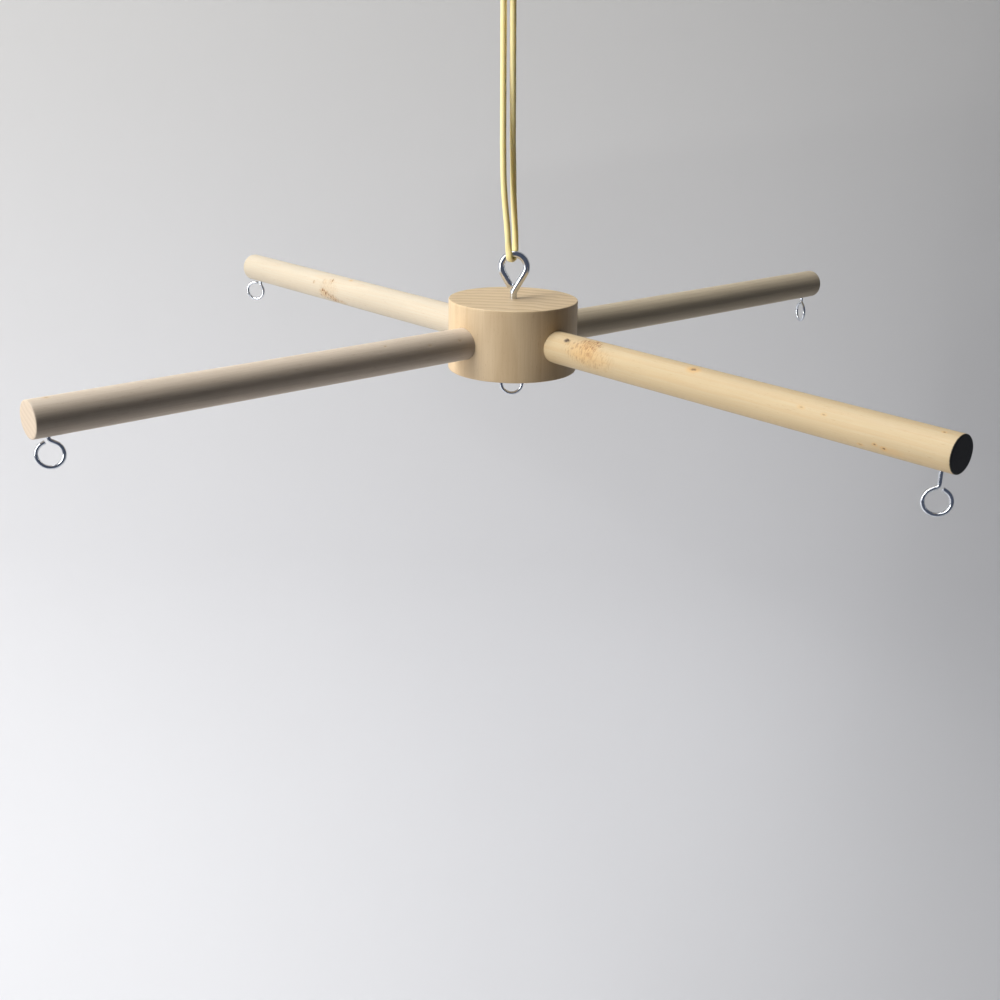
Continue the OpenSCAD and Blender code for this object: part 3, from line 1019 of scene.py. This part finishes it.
# %% Zinc material
DULL_ZINC = (0.62, 0.66, 0.72, 1)
BRIGHT_ZINC = (0.80, 0.82, 0.85, 1)
DRAWN_DEPTH = 0.03 * MM


def zinc():
    material, tree, shader = new_material("zinc")
    lengthways = add(tree, "ShaderNodeUVMap", uv_map="along")
    spots = add(tree, "ShaderNodeTexCoord")
    drawn = vector(tree, "MULTIPLY", lengthways.outputs[0], (260.0, 9000.0, 1.0))
    lines = cloud(tree, drawn, 1.0, 3.0, 0.6)
    smears = cloud(tree, spots.outputs["Object"], 420.0, 3.0)
    plug(tree, shader.inputs["Base Color"], mix(tree, smears, DULL_ZINC, BRIGHT_ZINC))
    shader.inputs["Metallic"].default_value = 1.0
    uneven = maths(tree, "MULTIPLY_ADD", smears, 0.12, 0.10)
    plug(tree, shader.inputs["Roughness"], maths(tree, "MULTIPLY_ADD", lines, 0.08, uneven))
    relief(tree, shader, lines, 0.12, DRAWN_DEPTH)
    return material


zinc_plate = zinc()
for eye in eyes:
    eye.data.materials.append(zinc_plate)


# %% [markdown]
# ### The cord's finish
# The cord is pale yellow, close and smooth, with a soft satin gloss. A fine braid shows only close
# up: two sets of slanting ridges that cross, from two sine waves over the tube's own map. The
# grooves between the ridges carry painted shade: their colour is mixed a little towards a darker
# yellow. So thin a cord lets some light through, which lifts its shaded side: subsurface
# scattering does that here.

# %% Cord material
YELLOW, PALE_YELLOW = (0.96, 0.765, 0.36, 1), (0.99, 0.83, 0.46, 1)
# Darker yellow for the painted shade in the braid's grooves.
GROOVE_SHADE = (0.74, 0.56, 0.22, 1)
RIDGES_ROUND = 8
RIDGE_STEP = 0.9 * MM
BRAID_DEPTH = 0.05 * MM


def cord_finish():
    material, tree, shader = new_material("cord_yellow")
    lengthways = add(tree, "ShaderNodeUVMap", uv_map="along")
    spots = add(tree, "ShaderNodeTexCoord")
    split = add(tree, "ShaderNodeSeparateXYZ")
    plug(tree, split.inputs[0], lengthways.outputs[0])
    girth = math.pi * CORD * MM
    around = maths(tree, "MULTIPLY", split.outputs["Y"], 2 * math.pi * RIDGES_ROUND / girth)
    along = maths(tree, "MULTIPLY", split.outputs["X"], 2 * math.pi / RIDGE_STEP)
    one_way = maths(tree, "SINE", maths(tree, "ADD", along, around))
    other_way = maths(tree, "SINE", maths(tree, "SUBTRACT", along, around))
    braid = maths(tree, "MAXIMUM", one_way, other_way)
    ridges = spread(tree, braid, -0.4, 1.0)
    tint = cloud(tree, spots.outputs["Object"], 160.0, 3.0)
    colour = mix(tree, tint, YELLOW, PALE_YELLOW)
    # Painted shade: the grooves between the ridges are mixed towards the darker yellow.
    painted_groove_shade = maths(tree, "MULTIPLY", maths(tree, "SUBTRACT", 1.0, ridges), 0.15)
    colour = mix(tree, painted_groove_shade, colour, GROOVE_SHADE)
    plug(tree, shader.inputs["Base Color"], colour)
    plug(tree, shader.inputs["Roughness"], maths(tree, "MULTIPLY_ADD", tint, 0.1, 0.42))
    shader.inputs["Sheen Weight"].default_value = 0.15
    shader.inputs["Subsurface Weight"].default_value = 0.6
    shader.inputs["Subsurface Radius"].default_value = (1.0, 0.9, 0.65)
    shader.inputs["Subsurface Scale"].default_value = 0.0022
    relief(tree, shader, ridges, 0.35, BRAID_DEPTH)
    return material


hanging_cord.data.materials.append(cord_finish())


# %% [markdown]
# ## The studio
# A pale sweep runs from a floor up into a wall close behind the frame, so that no edge shows. Its
# colour carries painted shade: it is mixed darker towards the top and the right, standing in for
# the daylight that fades there. A tall window on the left does most of the work: it's tall so that
# one arm throws no hard shadow on the hub, and narrow so that the sides of two arms stay in shade.
# A ceiling light does the rest. The room in front is dark, and a dim blue where the bright wire
# mirrors it. Only the camera's own rays see a pale room, for views from behind, and the wall lets
# them through when they meet its back.

# %% Floor and wall in one sweep
FLOOR_Z = -0.62
WALL_Y = 0.24
SWEEP = 0.30
FLOOR_EDGE = -0.6
REACH = 1.3
SWEEP_STEPS = 24


def pale_sweep():
    made = bmesh.new()
    outline = [(FLOOR_EDGE, FLOOR_Z), (WALL_Y - SWEEP, FLOOR_Z)]
    for i in range(1, SWEEP_STEPS + 1):
        angle = math.pi / 2 * i / SWEEP_STEPS
        rise = SWEEP * (1 - math.cos(angle))
        outline.append((WALL_Y - SWEEP + SWEEP * math.sin(angle), FLOOR_Z + rise))
    outline.append((WALL_Y, REACH))
    rows = [[made.verts.new((x, y, z)) for x in (-REACH, REACH)] for y, z in outline]
    for near, far in zip(rows, rows[1:]):
        face = made.faces.new((near[0], near[1], far[1], far[0]))
        face.smooth = True
    sweep = bpy.data.meshes.new("pale_sweep")
    made.to_mesh(sweep)
    made.free()
    piece = bpy.data.objects.new("pale_sweep", sweep)
    bpy.context.scene.collection.objects.link(piece)
    return piece


sweep = pale_sweep()

# %% Wall paint, with painted shade
material, tree, shader = new_material("pale_wall")
spots = add(tree, "ShaderNodeTexCoord")
tint = cloud(tree, spots.outputs["Object"], 3.0, 4.0)
paint = mix(tree, tint, (0.72, 0.722, 0.745, 1), (0.775, 0.78, 0.81, 1))
height = add(tree, "ShaderNodeSeparateXYZ")
plug(tree, height.inputs[0], spots.outputs["Object"])
# Painted shade: the wall's colour is mixed darker towards the top and towards the right, where the
# daylight fades.
shaded = mix(tree, spread(tree, height.outputs["Z"], -0.38, 0.12), paint, (0.53, 0.525, 0.52, 1))
right = spread(tree, height.outputs["X"], 0.08, 0.36)
shaded = mix(tree, maths(tree, "MULTIPLY", right, 0.32), shaded, (0.36, 0.36, 0.37, 1))
plug(tree, shader.inputs["Base Color"], shaded)
shader.inputs["Roughness"].default_value = 0.9
clear = add(tree, "ShaderNodeBsdfTransparent")
from_behind = add(tree, "ShaderNodeNewGeometry")
either = add(tree, "ShaderNodeMixShader")
plug(tree, either.inputs[0], from_behind.outputs["Backfacing"])
plug(tree, either.inputs[1], shader.outputs[0])
plug(tree, either.inputs[2], clear.outputs[0])
plug(tree, tree.nodes["Material Output"].inputs["Surface"], either.outputs[0])
sweep.data.materials.append(material)

# %% Lights
def area_light(name, spot, target, wide, high, watts, colour):
    data = bpy.data.lights.new(name, "AREA")
    data.shape, data.size, data.size_y = "RECTANGLE", wide, high
    data.energy, data.color = watts, colour
    light = bpy.data.objects.new(name, data)
    bpy.context.scene.collection.objects.link(light)
    away = Vector(spot) - Vector(target)
    light.matrix_world = Matrix.Translation(spot) @ away.to_track_quat("Z", "Y").to_matrix().to_4x4()
    return light


middle = (hub_axis.x, hub_axis.y, arm_height)
window = area_light(
    "window", (-1.08, -0.78, 0.16), middle, wide=0.5, high=1.3, watts=19.5, colour=(1.0, 0.985, 0.955)
)
ceiling = area_light(
    "ceiling", (-0.35, 0.04, 0.85), middle, wide=0.9, high=0.5, watts=12.8, colour=(0.97, 0.985, 1.0)
)
print("lights:", window.name, window.data.energy, "W,", ceiling.name, ceiling.data.energy, "W")

# %% The room around
world = bpy.data.worlds.new("studio")
bpy.context.scene.world = world
world.use_nodes = True
tree = world.node_tree
dark_room = tree.nodes["Background"]
dark_room.inputs["Color"].default_value = (0.55, 0.68, 1.0, 1)
dark_room.inputs["Strength"].default_value = 0.022
glossy_room = add(tree, "ShaderNodeBackground")
glossy_room.inputs["Color"].default_value = (0.62, 0.72, 1.0, 1)
glossy_room.inputs["Strength"].default_value = 0.13
pale_room = add(tree, "ShaderNodeBackground")
pale_room.inputs["Color"].default_value = (0.62, 0.62, 0.63, 1)
seen = add(tree, "ShaderNodeLightPath")
mirrored = add(tree, "ShaderNodeMixShader")
plug(tree, mirrored.inputs[0], seen.outputs["Is Glossy Ray"])
plug(tree, mirrored.inputs[1], dark_room.outputs[0])
plug(tree, mirrored.inputs[2], glossy_room.outputs[0])
either = add(tree, "ShaderNodeMixShader")
plug(tree, either.inputs[0], seen.outputs["Is Camera Ray"])
plug(tree, either.inputs[1], mirrored.outputs[0])
plug(tree, either.inputs[2], pale_room.outputs[0])
plug(tree, tree.nodes["World Output"].inputs["Surface"], either.outputs[0])
bpy.context.scene.view_settings.view_transform = "Standard"
